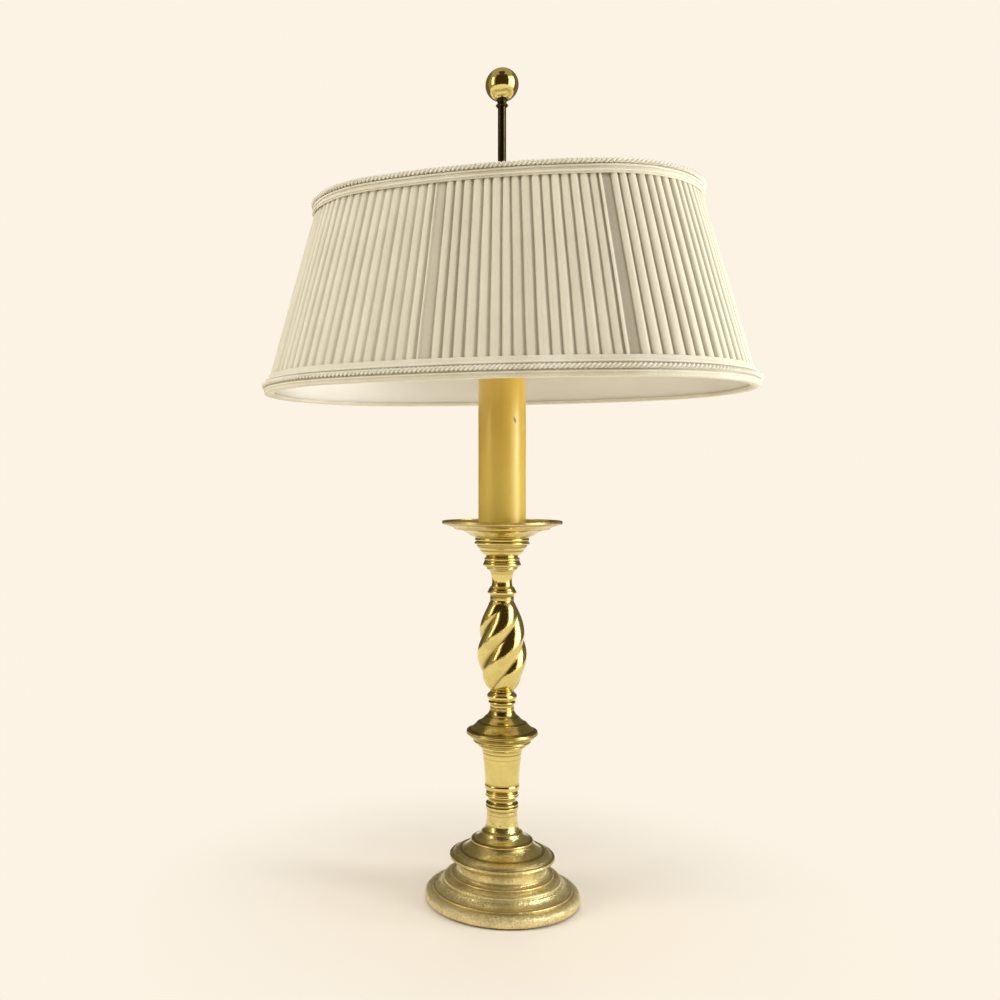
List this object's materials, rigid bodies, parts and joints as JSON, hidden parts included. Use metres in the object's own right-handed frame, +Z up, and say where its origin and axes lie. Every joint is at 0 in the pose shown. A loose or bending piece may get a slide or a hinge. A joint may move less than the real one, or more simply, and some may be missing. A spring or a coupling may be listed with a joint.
{
  "type": "candlestick lamp",
  "caption": "Brass candlestick table lamp with swirl knop, imitation candle, lamp holders on a cluster, oval pleated shade sliding on a rod, ball finial.",
  "frame": {"origin": "on the table under the middle of the foot", "axes": "+Z up along the stem, +X along the shade's long axis, -Y to the front"},
  "size_m": [0.3796, 0.2504, 0.6395],
  "materials": {
    "felt": "matt",
    "cast_brass": "pitted, half polished",
    "black_nylon": "matt",
    "iron": "rough",
    "zinc_steel": "zinc plated",
    "polished_brass": "polished",
    "candle": "satin, honey coloured",
    "phenolic": "satin",
    "bulb_cap": "rolled thread",
    "opal_glass": "opal white",
    "aged_brass": "dark, aged",
    "frame_wire": "white enamel",
    "lining": "smooth, bonded",
    "pleats": "knife pleated, ivory",
    "trim": "twisted and braided cord"
  },
  "bodies": {
    "root": {"felt_pad": "felt", "foot": "cast_brass", "cord_bushing": "black_nylon", "ballast": "iron", "foot_washer": "zinc_steel", "foot_nut": "zinc_steel", "base_dish": "cast_brass", "lower_collar": "polished_brass", "tapered_vase": "polished_brass", "bell_flange": "polished_brass", "lower_reel": "polished_brass", "swirl_knop": "polished_brass", "upper_reel": "polished_brass", "capital_ring": "polished_brass", "candle_cup": "polished_brass", "drip_pan": "polished_brass", "threaded_pipe": "zinc_steel", "candle_sleeve": "candle", "sleeve_cap": "polished_brass", "pipe_locknut": "polished_brass", "cluster_body": "polished_brass", "cluster_cap": "polished_brass", "left_socket_arm": "polished_brass", "left_socket_cap": "polished_brass", "left_socket_shell": "polished_brass", "left_socket_insert": "phenolic", "left_bulb_base": "bulb_cap", "left_bulb_glass": "opal_glass", "right_socket_arm": "polished_brass", "right_socket_cap": "polished_brass", "right_socket_shell": "polished_brass", "right_socket_insert": "phenolic", "right_bulb_base": "bulb_cap", "right_bulb_glass": "opal_glass", "rod": "aged_brass", "finial_collar": "aged_brass", "finial_ball": "polished_brass"},
    "collar": {"slide_collar": "polished_brass", "collar_nut": "polished_brass"},
    "thumb_screw_body": {"thumb_screw": "polished_brass"},
    "shade": {"spider_hub": "frame_wire", "spider_arms": "frame_wire", "top_ring": "frame_wire", "bottom_ring": "frame_wire", "ribs": "frame_wire", "shade_lining": "lining", "pleated_skin": "pleats", "bottom_band": "trim", "bottom_rope": "trim", "bottom_cords": "trim", "top_band": "trim", "top_rope": "trim", "top_cords": "trim"},
    "left_knob": {"left_switch_knob": "phenolic"},
    "right_knob": {"right_switch_knob": "phenolic"}
  },
  "joints": [
    {"name": "shade_height", "type": "slide", "parent": "root", "child": "collar", "axis": [0, 0, 1], "range_m": [-0.02, 0.078]},
    {"name": "shade_swivel", "type": "hinge", "parent": "collar", "child": "shade", "pos_m": [0, 0, 0.5261], "axis": [0, 0, 1], "continuous": true},
    {"name": "thumb_screw_turn", "type": "hinge", "parent": "collar", "child": "thumb_screw_body", "pos_m": [0, 0.01, 0.51405], "axis": [0, 1, 0], "range_deg": [-270, 0]},
    {"name": "left_switch_turn", "type": "hinge", "parent": "root", "child": "left_knob", "pos_m": [-0.03524, -0.02, 0.45156], "axis": [0, -1, 0], "continuous": true},
    {"name": "right_switch_turn", "type": "hinge", "parent": "root", "child": "right_knob", "pos_m": [0.03524, -0.02, 0.45156], "axis": [0, -1, 0], "continuous": true}
  ]
}
